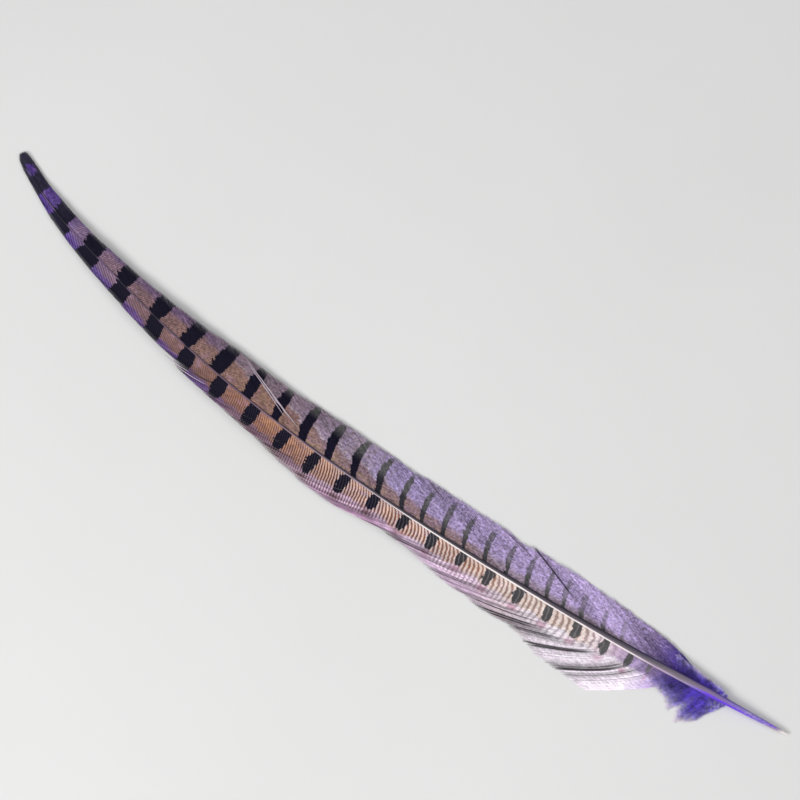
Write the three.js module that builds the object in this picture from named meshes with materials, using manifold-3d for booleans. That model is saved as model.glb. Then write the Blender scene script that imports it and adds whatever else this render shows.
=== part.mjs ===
// A cock pheasant's central tail feather, lying on its underside.
// Millimetres, +Z up. The quill points to -X and the tip to +X, and the webs' rims rest on Z = 0.
// The feather is one grown piece, so it is one solid: a bowed, tapering shaft, a left web (+Y) and
// a right web (-Y) parted into fans of overlapping locks, and tufts of down at the foot of the webs.

import * as THREE from "three";
import { mergeVertices } from "three/addons/utils/BufferGeometryUtils.js";
import Module from "manifold-3d";

// ---- Driving dimensions ------------------------------------------------------------------------

// The shaft's centre line from the end of the quill to the tip, 500 mm along the bow.
const SHAFT_LENGTH = 500;
const BOW = new THREE.CubicBezierCurve3(
  new THREE.Vector3(0, 0, 1.1),
  new THREE.Vector3(233.4, 37.05, 9.5),
  new THREE.Vector3(377.3, 43.55, 9.5),
  new THREE.Vector3(494.8, 0, 0.5),
);
BOW.arcLengthDivisions = 1000;

// Where the row's origin lies in the plane of the bow: under the middle of the whole feather.
const ORIGIN = new THREE.Vector3(247.2, 22.55, 0);

// Half the shaft's width at each station along it, and how much deeper than wide it is.
const SHAFT_HALF_WIDTH = [
  [0, 0.25],
  [3, 0.75],
  [10, 1.15],
  [20, 1.45],
  [32, 1.8],
  [45, 2.2],
  [70, 2.1],
  [100, 1.8],
  [150, 1.4],
  [200, 1.1],
  [250, 0.85],
  [320, 0.7],
  [480, 0.62],
  [499, 0.3],
];
const SHAFT_DEPTH = 1.2;
const SHAFT_SIDES = 10;
const SHAFT_STEP = 14;

// The webs: a plate of barbs, arched down from the shaft until it meets the ground.
const WEB_THICKNESS = 0.9;
const RIM_THICKNESS = 0.6;
const WEB_SLOPE = 0.12;
const WEB_ARCH = 0.012;
const ROOT_OVERLAP = 0.25;

// The locks that a web is made of: each rises along the web to a step down onto the next one.
const LOCK_PITCH = 12;
const LOCK_RELIEF = 0.45;
const LOCK_STEP = 0.12;
const LOCK_TIP_CUT = 0.05;
const LOCK_ROWS = 6;

// A barb leaves the shaft at its root station and sweeps towards the tip on its way to the rim.
// REACH is how far along the shaft it gets, BEND how late it turns, RIM how far out it ends.
const LEFT = {
  side: 1,
  reach: [
    [66, 44],
    [84, 36],
    [95, 46],
    [120, 62],
    [160, 50],
    [300, 42],
    [341, 32],
    [400, 28],
    [440, 24],
    [470, 16],
    [489, 9],
  ],
  bend: [
    [66, 1.4],
    [95, 1.6],
    [120, 2.3],
    [200, 2.6],
    [360, 2.4],
    [500, 1.8],
  ],
  rim: [
    [110, 30.5],
    [124, 29.2],
    [138, 27.5],
    [142, 25],
    [150, 22],
    [158, 20.3],
    [172, 21],
    [190, 20],
    [200, 19],
    [212, 16.7],
    [230, 15.2],
    [240, 13.8],
    [256, 17],
    [270, 18],
    [285, 17.6],
    [300, 16],
    [320, 13.6],
    [345, 12.4],
    [368, 11.8],
    [373, 10],
    [400, 9],
    [425, 7.7],
    [450, 7],
    [465, 6],
    [480, 4.6],
    [492, 3.6],
    [498, 1.8],
    [500, 0.5],
  ],
};
const RIGHT = {
  side: -1,
  reach: [
    [38, 22],
    [60, 34],
    [90, 44],
    [130, 46],
    [300, 36],
    [350, 30],
    [400, 26],
    [440, 22],
    [470, 15],
    [489, 9],
  ],
  bend: [
    [38, 1.2],
    [300, 1.4],
    [500, 1.5],
  ],
  rim: [
    [60, 9.5],
    [75, 13],
    [95, 16],
    [115, 18.2],
    [135, 19.6],
    [160, 20.2],
    [200, 21],
    [230, 21],
    [270, 20.5],
    [290, 19.5],
    [310, 18],
    [325, 17],
    [345, 16.4],
    [360, 14.8],
    [380, 12.5],
    [400, 10.5],
    [420, 8.5],
    [432, 7.5],
    [442, 6],
    [450, 5.1],
    [465, 4.5],
    [478, 3.5],
    [492, 3.7],
    [497, 2.6],
    [500, 0.5],
  ],
};

// The fans that each web has parted into, by the root stations of their first and last barbs.
const PARTING = 0.7;
const LEFT_FANS = [
  [66, 84],
  [84, 95],
  [95, 160],
  [160, 341],
  [341, 489],
];
const RIGHT_FANS = [
  [42, 114],
  [114, 180],
  [180, 489],
];

// Tufts of down: where each is rooted, the station and distance out of its tip, half its width
// there, how far out its shoulders come, and how much thicker it is than the one before it.
const DOWN_LIFT = 0.3;
const DOWN_SHOULDER = 0.8;
const DOWN_TUFTS = [
  { side: 1, root: [38, 49], tip: 48, out: 19, spread: 4.5 },
  { side: 1, root: [45, 60], tip: 54.8, out: 21.3, spread: 4.2 },
  { side: 1, root: [54, 68], tip: 61, out: 18, spread: 4.5 },
  { side: 1, root: [61, 77], tip: 70, out: 12.5, spread: 6.5 },
  { side: -1, root: [38, 50], tip: 49, out: 8.5, spread: 4 },
  { side: -1, root: [46, 62], tip: 58, out: 11.5, spread: 5 },
];
const DOWN_ROWS = 5;

// ---- Reading the dimensions --------------------------------------------------------------------

/** The value at a station of a table of [station, value] rows, straight between the rows. */
function valueAt(table, station) {
  const next = table.findIndex(([at]) => at > station);
  if (next === -1) return table[table.length - 1][1];
  if (next === 0) return table[0][1];
  const [fromAt, from] = table[next - 1];
  const [toAt, to] = table[next];
  return THREE.MathUtils.mapLinear(station, fromAt, toAt, from, to);
}

/** A point given by its station along the shaft, its distance out to the left and its height. */
function place(station, out, height) {
  const along = THREE.MathUtils.clamp(station / SHAFT_LENGTH, 0, 1);
  const heading = BOW.getTangentAt(along).setZ(0).normalize();
  return BOW.getPointAt(along)
    .setZ(height)
    .addScaledVector(new THREE.Vector3(-heading.y, heading.x, 0), out)
    .sub(ORIGIN);
}

/** The height of the shaft's centre line at a station. */
function shaftHeight(station) {
  return BOW.getPointAt(THREE.MathUtils.clamp(station / SHAFT_LENGTH, 0, 1)).z;
}

/** The height of a web's underside: it arches down from the shaft and lies flat on the ground. */
function underside(station, out) {
  const drop = WEB_SLOPE * Math.abs(out) + WEB_ARCH * out * out;
  return Math.max(shaftHeight(station) - WEB_THICKNESS / 2 - drop, 0);
}

// ---- Solids ------------------------------------------------------------------------------------

const wasm = await Module();
wasm.setup();

/** The closed solid of a geometry whose seams share their places. */
function solidOf(geometry) {
  const bare = geometry.clone();
  bare.deleteAttribute("normal");
  bare.deleteAttribute("uv");
  const merged = mergeVertices(bare, 1e-5);
  return new wasm.Manifold(
    new wasm.Mesh({
      numProp: 3,
      vertProperties: merged.attributes.position.array,
      triVerts: new Uint32Array(merged.index.array),
    }),
  );
}

/** Moves every vertex of a geometry to move(vertex), which returns its new place. */
function bend(geometry, move) {
  const position = geometry.attributes.position;
  const vertex = new THREE.Vector3();
  for (let i = 0; i < position.count; i += 1) {
    vertex.fromBufferAttribute(position, i);
    const moved = move(vertex);
    position.setXYZ(i, moved.x, moved.y, moved.z);
  }
  return geometry;
}

/** The shaft: a turned profile, bent along the bow and a little deeper than it is wide. */
function shaft() {
  const from = SHAFT_HALF_WIDTH[0][0];
  const to = SHAFT_HALF_WIDTH[SHAFT_HALF_WIDTH.length - 1][0];
  const rings = Math.round((to - from) / SHAFT_STEP);
  const stations = Array.from({ length: rings + 1 }, (_, i) => from + ((to - from) * i) / rings);
  stations.splice(1, 0, 1.2, 3.5, 8);
  const profile = stations
    .sort((a, b) => a - b)
    .map((station) => new THREE.Vector2(valueAt(SHAFT_HALF_WIDTH, station), station));
  profile.unshift(new THREE.Vector2(0, from - 0.01));
  profile.push(new THREE.Vector2(0, to + 0.6));
  const turned = new THREE.LatheGeometry(profile, SHAFT_SIDES, Math.PI / SHAFT_SIDES);
  return solidOf(
    bend(turned, ({ x, y, z }) => {
      const station = THREE.MathUtils.clamp(y, 0, SHAFT_LENGTH);
      return place(station, -x, shaftHeight(station) + SHAFT_DEPTH * z);
    }),
  );
}

/**
 * A thin plate of barbs on one side of the shaft, with its columns running from the shaft to the
 * rim. spot(column, outward) gives the station and the distance out of the point that is the share
 * `outward` of the way along a column, and column.relief is how far the upper face stands up there.
 */
function plate(columns, rows, side, spot, lift) {
  const box = new THREE.BoxGeometry(columns.length - 1, 1, 1, columns.length - 1, rows, 1);
  return solidOf(
    bend(box, ({ x, y, z }) => {
      const column = columns[Math.round(x + (columns.length - 1) / 2)];
      const outward = side > 0 ? y + 0.5 : 0.5 - y;
      const { station, out } = spot(column, outward);
      const floor = underside(station, out);
      const thick = THREE.MathUtils.lerp(WEB_THICKNESS, RIM_THICKNESS, outward);
      const raise = lift + column.relief * Math.sqrt(outward);
      const height = z < 0 ? floor : floor + thick + raise;
      return place(station, side * (out - ROOT_OVERLAP * (1 - outward)), height);
    }),
  );
}

/** The columns of a fan: two for each lock, one where it begins and one at the top of its step. */
function lockColumns(first, last) {
  const locks = Math.max(1, Math.round((last - first) / LOCK_PITCH));
  const pitch = (last - first) / locks;
  const columns = [];
  for (let lock = 0; lock < locks; lock += 1) {
    const begin = first + lock * pitch;
    columns.push({ root: begin + (lock ? LOCK_STEP * pitch : 0), relief: 0, cut: LOCK_TIP_CUT });
    columns.push({ root: begin + pitch, relief: LOCK_RELIEF, cut: 0 });
  }
  return columns;
}

/** One fan of a web: a plate of locks, parted from its neighbours by a slit that opens outwards. */
function fan(web, [first, last]) {
  return plate(
    lockColumns(first, last),
    LOCK_ROWS,
    web.side,
    ({ root, cut }, outward) => {
      const towards = THREE.MathUtils.mapLinear(root, first, last, 1, -1);
      const reach = valueAt(web.reach, root) * outward ** valueAt(web.bend, root);
      const rim = valueAt(web.rim, root + valueAt(web.reach, root));
      return {
        station: root + reach + PARTING * towards * outward,
        out: rim * outward * (1 - cut),
      };
    },
    0,
  );
}

/** One tuft of down: a short plate with a crest along its middle that ends in a point. */
function tuft({ side, root, tip, out, spread }, index) {
  const columns = [-1, 0, 1].map((across) => ({ across, relief: 0.5 - 0.5 * Math.abs(across) }));
  return plate(
    columns,
    DOWN_ROWS,
    side,
    ({ across }, outward) => ({
      station: THREE.MathUtils.lerp(
        THREE.MathUtils.mapLinear(across, -1, 1, root[0], root[1]),
        tip + across * spread,
        outward ** 1.2,
      ),
      out: outward * out * (across ? DOWN_SHOULDER : 1),
    }),
    DOWN_LIFT * (index + 1),
  );
}

/** The feather: the shaft, the fans and the tufts grown together. */
function feather() {
  let grown = shaft();
  for (const span of LEFT_FANS) grown = grown.add(fan(LEFT, span));
  for (const span of RIGHT_FANS) grown = grown.add(fan(RIGHT, span));
  DOWN_TUFTS.forEach((down, index) => {
    grown = grown.add(tuft(down, index));
  });
  const { vertProperties, triVerts } = grown.simplify(0.01).getMesh();
  const geometry = new THREE.BufferGeometry();
  geometry.setAttribute("position", new THREE.BufferAttribute(vertProperties, 3));
  geometry.setIndex(new THREE.BufferAttribute(triVerts, 1));
  geometry.computeVertexNormals();
  return geometry;
}

// ---- The part ----------------------------------------------------------------------------------

const keratin = new THREE.MeshStandardMaterial({ color: 0xb39a94, roughness: 0.7, metalness: 0 });
const mesh = new THREE.Mesh(feather(), keratin);
mesh.name = "feather";

const part = new THREE.Group();
part.add(mesh);

export default part;
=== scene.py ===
"""A cock pheasant's central tail feather, lying on its underside: the dressed model.

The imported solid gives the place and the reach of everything. Here its one node is replaced by the
pieces that the eye tells apart on a feather: the shaft, a left and a right web of single barbs, the
down above the quill and a few stray barbs. All lengths are in millimetres, and MM turns them into
the scene's metres where a mesh is written.
"""

import logging
import math
from dataclasses import dataclass
from enum import Enum
from typing import Self

import bpy
import numpy as np
from bpy.types import Material, Mesh, NodeSocket, Object
from mathutils import Matrix, Vector


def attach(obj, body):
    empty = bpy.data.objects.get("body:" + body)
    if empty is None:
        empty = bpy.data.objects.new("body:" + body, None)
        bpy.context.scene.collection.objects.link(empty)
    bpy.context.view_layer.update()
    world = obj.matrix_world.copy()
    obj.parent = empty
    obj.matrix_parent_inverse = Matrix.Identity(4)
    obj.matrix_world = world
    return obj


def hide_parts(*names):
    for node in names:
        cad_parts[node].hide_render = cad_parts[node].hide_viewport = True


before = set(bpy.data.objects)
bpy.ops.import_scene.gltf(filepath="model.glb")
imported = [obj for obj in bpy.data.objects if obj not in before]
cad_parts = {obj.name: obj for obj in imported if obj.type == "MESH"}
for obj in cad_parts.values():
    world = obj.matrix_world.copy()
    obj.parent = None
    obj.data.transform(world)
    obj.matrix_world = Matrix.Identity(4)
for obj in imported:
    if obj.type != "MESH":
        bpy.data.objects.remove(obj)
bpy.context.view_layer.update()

MM = 0.001
UP = np.array([0.0, 0.0, 1.0])
log = logging.getLogger("feather")
Array = np.ndarray
Pair = tuple[float, float]
Rows = tuple[Pair, ...]


def read(rows: Rows, at: Array | float) -> Array:
    """Reads a table of (station, value) rows, straight between the rows.

    Args:
        rows: the table, by rising station.
        at: the stations to read it at.

    Returns:
        The value at each station.
    """
    table = np.asarray(rows, float)
    return np.interp(at, table[:, 0], table[:, 1])


def ease(low: float, high: float, value: Array) -> Array:
    """Rises smoothly from 0 at low to 1 at high, as 3x^2 - 2x^3.

    Args:
        low: where the rise begins.
        high: where it ends, which may be below low for a fall.
        value: where to read it.

    Returns:
        The share of the rise, between 0 and 1.
    """
    x = np.clip((value - low) / (high - low), 0.0, 1.0)
    return x * x * (3.0 - 2.0 * x)


def linear(r: float, g: float, b: float) -> tuple[float, ...]:
    """Turns a colour as seen on a screen, 0 to 255, into linear light, 0 to 1."""
    return tuple(((c / 255 + 0.055) / 1.055) ** 2.4 if c > 10 else c / 3295 for c in (r, g, b))


class Tint(Enum):
    """The feather's colours, in linear light."""

    INK = linear(20, 17, 35)
    SLATE = linear(54, 50, 70)
    SOOT = linear(42, 39, 52)
    ASH = linear(96, 94, 100)
    VIOLET = linear(80, 52, 138)
    PLUM = linear(109, 82, 123)
    TAUPE = linear(123, 92, 98)
    TAN = linear(142, 108, 98)
    BUFF = linear(150, 98, 78)
    APRICOT = linear(165, 111, 92)
    CLAY = linear(162, 113, 104)
    FAWN = linear(131, 95, 87)
    SHELL = linear(192, 152, 138)
    CREAM = linear(214, 188, 176)
    RUST = linear(88, 60, 60)
    AMBER = linear(196, 136, 94)
    MULBERRY = linear(128, 94, 114)
    PINK = linear(176, 139, 170)
    ROSE = linear(182, 134, 158)
    OCHRE = linear(158, 130, 104)
    PETAL = linear(222, 194, 220)
    ULTRA = linear(84, 64, 160)
    ORCHID = linear(190, 166, 188)
    PEARL = linear(208, 196, 206)
    BLUSH = linear(230, 211, 220)
    HEATHER = linear(122, 104, 142)
    PEWTER = linear(112, 102, 114)
    MAUVE = linear(138, 112, 116)
    DOVE = linear(160, 142, 158)
    ROSEWOOD = linear(148, 124, 132)
    LAVENDER = linear(156, 140, 178)
    LILAC = linear(174, 154, 194)
    IRISED = linear(178, 160, 214)
    OLIVE = linear(98, 96, 96)
    INDIGO = linear(76, 58, 134)
    IRIS = linear(104, 76, 206)
    HAZE = linear(150, 138, 202)
    FROST = linear(176, 172, 204)
    UMBER = linear(62, 56, 64)
    DUSK = linear(82, 76, 88)
    DAMSON = linear(90, 67, 88)
    IVORY = linear(240, 232, 230)
    QUILL = linear(128, 108, 196)
    GRAPE = linear(108, 64, 214)
    WISTERIA = linear(186, 165, 208)
    THISTLE = linear(134, 115, 130)
    AMETHYST = linear(104, 74, 142)
    HYACINTH = linear(122, 96, 142)
    CHALK = linear(230, 220, 230)
    PEBBLE = linear(142, 135, 135)
    PEAT = linear(92, 76, 78)


# ---- The feather's form -----------------------------------


@dataclass(frozen=True)
class ShaftLine:
    """The centre line: a cubic Bezier curve, whose stations count along its bow from the quill.

    origin is the curve's point that lies over the scene's middle, and wander how far the shaft
    itself bends away from the line to its left.
    """

    length: float = 500.0
    corners: tuple[tuple[float, float, float], ...] = (
        (0, 0, 1.1), (233.4, 37.05, 9.5), (377.3, 43.55, 9.5), (494.8, 0, 0.5),
    )
    origin: Pair = (247.2, 22.55)
    wander: Rows = (
        (55, 0), (85, 0.42), (260, 0.42), (330, 0.3), (400, 0.1), (425, 0.3), (445, 1.5),
        (458, 2.4), (475, 2.6), (488, 1.6), (500, 0),
    )
    steps: int = 4000

    def course(self) -> tuple[Array, Array]:
        """Works the curve out as (1-t)^3 A + 3(1-t)^2 t B + 3(1-t) t^2 C + t^3 D.

        Returns:
            The stations of its points, and the points.
        """
        t = np.linspace(0.0, 1.0, self.steps + 1)[:, None]
        a, b, c, d = np.asarray(self.corners)
        points = (1 - t) ** 3 * a + 3 * (1 - t) ** 2 * t * b + 3 * (1 - t) * t**2 * c + t**3 * d
        run = np.r_[0.0, np.cumsum(np.linalg.norm(np.diff(points, axis=0), axis=1))]
        return run * (self.length / run[-1]), points

    def off(self, station: Array) -> Array:
        """Gives how far the shaft itself lies to the left of the centre line."""
        return read(self.wander, station)

    def height(self, station: Array) -> Array:
        """Gives the centre line's height above the ground at each station."""
        stations, points = self.course()
        return np.interp(station, stations, points[:, 2])

    def place(self, station: Array, out: Array, height: Array) -> Array:
        """Places points that are given along, across and above the shaft.

        A point is the centre line's at its station, plus `out` times the level normal there.

        Args:
            station: how far along the bow each point is.
            out: how far to the left of the shaft.
            height: how far above the ground.

        Returns:
            The points in the scene's frame, in millimetres, with a last axis of three.
        """
        stations, points = self.course()
        heading = np.gradient(points[:, :2], stations, axis=0)
        heading /= np.linalg.norm(heading, axis=1)[:, None]
        columns = (points[:, 0], points[:, 1], heading[:, 0], heading[:, 1])
        x, y, along, across = (np.interp(station, stations, c) for c in columns)
        x, y = x - across * out - self.origin[0], y + along * out - self.origin[1]
        return together(x, y, height)


LINE = ShaftLine()


@dataclass(frozen=True)
class Lie:
    """How the webs lie: arched down from the shaft, and level where they meet the ground."""

    slope: float = 0.12
    arch: float = 0.012
    rest: float = 0.55
    round_off: float = 0.5

    def height(self, station: Array, out: Array) -> Array:
        """Works out the web's height: the shaft's, less slope |out| + arch out^2, above a floor.

        The floor is reached smoothly, as rest + r ln(1 + e^((h - rest) / r)).

        Args:
            station: stations along the bow.
            out: distances from the shaft.

        Returns:
            The height of the web's middle above the ground.
        """
        free = LINE.height(station) - self.slope * np.abs(out) - self.arch * out**2
        return self.rest + self.round_off * np.logaddexp(0.0, (free - self.rest) / self.round_off)


LIE = Lie()


def together(*rows: Array) -> Array:
    """Spreads arrays to one common shape and puts them side by side on a new last axis."""
    return np.stack(np.broadcast_arrays(*rows), axis=-1)


def uneven(seed: int, count: int, run: float) -> Array:
    """Makes an even-handed random row that wanders: white noise averaged over about `run` places.

    Args:
        seed: the row's own seed.
        count: how many values.
        run: how many neighbours share a wander.

    Returns:
        The values, with a spread of 1.
    """
    reach = max(1, int(3 * run))
    weights = np.exp(-0.5 * (np.arange(-reach, reach + 1) / run) ** 2)
    row = np.convolve(np.random.default_rng(seed).normal(size=count + 2 * reach), weights, "valid")
    return row / row.std()


# ---- Meshes -----------------------------------------------


@dataclass
class Strands:
    """Many closed strands at once: a three-sided prism carried along each path.

    centre is (strand, step, 3); half is the vector from the centre line to one lower edge and crown
    the one to the ridge, both of the same shape; marks are named values at each strand and step.
    """

    centre: Array
    half: Array
    crown: Array
    marks: dict[str, Array]

    @classmethod
    def level(cls, centre: Array, width: Array, ridge: float, place: Array) -> Self:
        """Gives paths a three-sided section whose foot lies level.

        Args:
            centre: the paths, by strand and step.
            width: their widths.
            ridge: how high the ridge stands, as a share of the width.
            place: the mark of that name at each step.

        Returns:
            The strands.
        """
        ahead = np.gradient(centre, axis=1)
        side = np.stack([-ahead[..., 1], ahead[..., 0], np.zeros_like(width)], -1)
        side /= np.linalg.norm(side, axis=-1)[..., None] + 1e-9
        width = width[..., None]
        return cls(centre, 0.5 * width * side, ridge * width * UP, {"place": place})

    def mesh(self, name: str, band: Pair = (0.0, 1.0)) -> Mesh:
        """Builds the prisms: rings of three corners, quads between them and a triangle at each end.

        Args:
            name: the mesh's name.
            band: the part of the map's width that these strands share.

        Returns:
            The mesh, in metres, with its marks and a map that gives each strand a strip of its own.
        """
        strands, steps, _ = self.centre.shape
        corners = [self.centre + self.half, self.centre + self.crown, self.centre - self.half]
        number = np.arange(strands * steps * 3).reshape(strands, steps, 3)
        after = np.roll(number, -1, axis=2)
        quads = np.stack([number[:, :-1], after[:, :-1], after[:, 1:], number[:, 1:]], -1)
        quads = quads.reshape(-1, 4)
        caps = np.concatenate([number[:, 0, ::-1], number[:, -1]])
        strand = np.arange(strands)[:, None]
        u = (np.arange(3)[:, None] + [0, 1, 1, 0]) * 0.3 + 0.05 + strand[:, :, None, None]
        v = 0.02 + 0.96 * (np.arange(steps - 1)[:, None, None] + [0, 0, 1, 1]) / (steps - 1)
        cap_u, cap_v = np.tile(strand, (2, 1)) + [0.1, 0.5, 0.9], np.repeat([0.01, 0.99], strands)
        maps = [together(u / strands, v), together(cap_u / strands, cap_v[:, None])]
        uv = np.concatenate([part.reshape(-1, 2) for part in maps])
        uv[:, 0] = band[0] + (band[1] - band[0]) * uv[:, 0]
        mesh = write_mesh(name, np.stack(corners, 2).reshape(-1, 3), [quads, caps], uv)
        for mark, values in self.marks.items():
            write_mark(mesh, mark, np.repeat(values.reshape(strands * steps, -1), 3, axis=0))
        return mesh


def write_mesh(
    name: str, points: Array, faces: list[Array], uv: Array | None = None
) -> Mesh:
    """Writes points and faces into a new mesh.

    Args:
        name: the mesh's name.
        points: the corners, in millimetres.
        faces: arrays of corner numbers, each of faces with the same number of sides.
        uv: a place on the map for each face corner, in the order of the faces.

    Returns:
        The mesh, in metres.
    """
    mesh = bpy.data.meshes.new(name)
    loops = np.concatenate([f.ravel() for f in faces])
    sides = np.concatenate([np.full(len(f), f.shape[1]) for f in faces])
    mesh.vertices.add(len(points))
    mesh.vertices.foreach_set("co", (points * MM).astype(np.float32).ravel())
    mesh.loops.add(len(loops))
    mesh.loops.foreach_set("vertex_index", loops.astype(np.int32))
    mesh.polygons.add(len(sides))
    mesh.polygons.foreach_set("loop_start", np.r_[0, np.cumsum(sides)[:-1]].astype(np.int32))
    mesh.update(calc_edges=True)
    if uv is not None:
        layer = mesh.uv_layers.new(name="OFBake")
        layer.uv.foreach_set("vector", uv.astype(np.float32).ravel())
    mesh.validate()
    return mesh


def write_mark(mesh: Mesh, name: str, values: Array) -> None:
    """Writes a number or a vector for each corner point of a mesh.

    Args:
        mesh: the mesh.
        name: the mark's name, which its finish reads.
        values: one or three numbers for each point.
    """
    single = values.shape[-1] == 1
    mark = mesh.attributes.new(name, "FLOAT" if single else "FLOAT_VECTOR", "POINT")
    mark.data.foreach_set("value" if single else "vector", values.astype(np.float32).ravel())


def show(item: Object) -> Object:
    """Links an object into the scene and hands it back."""
    bpy.context.scene.collection.objects.link(item)
    return item


def add_piece(mesh: Mesh, finish: Material, smooth: bool) -> Object:
    """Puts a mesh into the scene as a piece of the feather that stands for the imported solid.

    Args:
        mesh: the piece's mesh, in place.
        finish: its material.
        smooth: whether its faces are shaded as one rounded surface.

    Returns:
        The piece.
    """
    piece = show(bpy.data.objects.new(mesh.name, mesh))
    mesh.materials.append(finish)
    mesh.polygons.foreach_set("use_smooth", np.full(len(mesh.polygons), smooth))
    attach(piece, "root")
    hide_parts("feather")
    mesh.calc_loop_triangles()
    log.info("%s: %d triangles", mesh.name, len(mesh.loop_triangles))
    return piece


# ---- Finishes ---------------------------------------------


class Output:
    """What a shader node gives at each point, a number or a colour, ready for sums with others."""

    def __init__(self, nodes: "Nodes", socket: NodeSocket) -> None:
        """Keeps the tree and the node's own socket."""
        self.nodes, self.socket = nodes, socket

    def maths(self, operation: str, *others: Self | float) -> Self:
        """Works one number out of this one and others."""
        return self.nodes.add("Math", dict(enumerate((self, *others))), operation=operation)

    def __add__(self, other: Self | float) -> Self:
        """Adds another number."""
        return self.maths("ADD", other)

    def __sub__(self, other: Self | float) -> Self:
        """Takes another number away."""
        return self.maths("SUBTRACT", other)

    def __mul__(self, other: Self | float) -> Self:
        """Multiplies by another number."""
        return self.maths("MULTIPLY", other)

    def rise(self, low: float, high: float, top: float = 1.0) -> Self:
        """Rises smoothly from 0 where this number is low to top where it is high, or falls."""
        spans = {0: self, 1: low, 2: high, 3: 0.0, 4: top}
        return self.nodes.add("MapRange", spans, interpolation_type="SMOOTHSTEP")


Blend = Output | Tint | tuple[float, ...]
Stops = tuple[tuple[float, Tint], ...]


class Nodes:
    """A new material's node tree, with a short call for each kind of node that a finish uses."""

    def __init__(self, name: str) -> None:
        """Starts an empty material.

        Args:
            name: the material's name.
        """
        self.material = bpy.data.materials.new(name)
        self.material.use_nodes = True
        self.tree = self.material.node_tree
        self.tree.nodes.clear()

    def add(
        self, kind: str, inputs: dict[str | int, object], output: str | int = 0, **settings: object
    ) -> Output:
        """Adds a node.

        Args:
            kind: the node's type, without "ShaderNode".
            inputs: a value or an output for each named or numbered input.
            output: which of the node's outputs is wanted.
            settings: properties of the node itself.

        Returns:
            The output.
        """
        node = self.tree.nodes.new("ShaderNode" + kind)
        for key, setting in settings.items():
            setattr(node, key, setting)
        for key, value in inputs.items():
            if isinstance(value, Output):
                self.tree.links.new(value.socket, node.inputs[key])
            else:
                node.inputs[key].default_value = value
        return Output(self, node.outputs[output])

    def mix(self, share: Output | float, a: Blend, b: Blend, blend: str = "MIX") -> Output:
        """Blends two colours, the second one by its share."""
        a, b = ((*c.value, 1.0) if isinstance(c, Tint) else c for c in (a, b))
        return self.add("Mix", {0: share, 6: a, 7: b}, 2, data_type="RGBA", blend_type=blend)

    def lit(self, colour: Output, tone: Output, share: float = 1.0) -> Output:
        """Makes a colour darker where the tone is below 1 and lighter where it is above."""
        grey = self.add("CombineXYZ", {0: tone, 1: tone, 2: tone})
        return self.mix(share, colour, grey, "MULTIPLY")

    def ramp(self, value: Output, stops: Stops) -> Output:
        """Runs through tints as a value goes from 0 to 1.

        Args:
            value: the value.
            stops: the place of each tint.

        Returns:
            The colour.
        """
        ramp = self.add("ValToRGB", {0: value})
        elements = ramp.socket.node.color_ramp.elements
        for i, (at, tint) in enumerate(stops):
            element = elements[i] if i < 2 else elements.new(at)
            element.position = at
            element.color = (*tint.value, 1.0)
        return ramp

    def noise(self, scale: float, detail: float, where: Output | None = None) -> Output:
        """Gives a cloudy number about 0.5, by the point on the object or by another vector."""
        where = where or self.add("TexCoord", {}, "Object")
        return self.add("TexNoise", {"Vector": where, "Scale": scale, "Detail": detail})

    def drawn(self, x: Output, y: Output, detail: float) -> Output:
        """Gives a cloudy number over two others, for a pattern that is drawn out one way."""
        return self.noise(1.0, detail, self.add("CombineXYZ", {0: x, 1: y}))

    def mark(self, name: str) -> list[Output]:
        """Gives the three numbers of a mark that the mesh carries."""
        mark = self.add("Attribute", {}, "Vector", attribute_name=name)
        return [Output(self, s) for s in self.add("SeparateXYZ", {0: mark}).socket.node.outputs]

    def finish(
        self, colour: Output, rough: Output | float, bump: Output, depth: float, **constants: float
    ) -> Material:
        """Ends the tree in one surface shader.

        Args:
            colour: the base colour.
            rough: the roughness.
            bump: a height for the fine relief.
            depth: how far that relief stands out, in millimetres.
            constants: further inputs that are the same all over.

        Returns:
            The material.
        """
        relief = self.add("Bump", {"Strength": 0.6, "Distance": depth * MM, "Height": bump})
        inputs = {"Base Color": colour, "Roughness": rough, "Normal": relief}
        for key, value in constants.items():
            inputs[key.replace("_", " ").title().replace("Ior", "IOR")] = value
        end = self.tree.nodes.new("ShaderNodeOutputMaterial")
        self.tree.links.new(self.add("BsdfPrincipled", inputs).socket, end.inputs[0])
        return self.material


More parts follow.
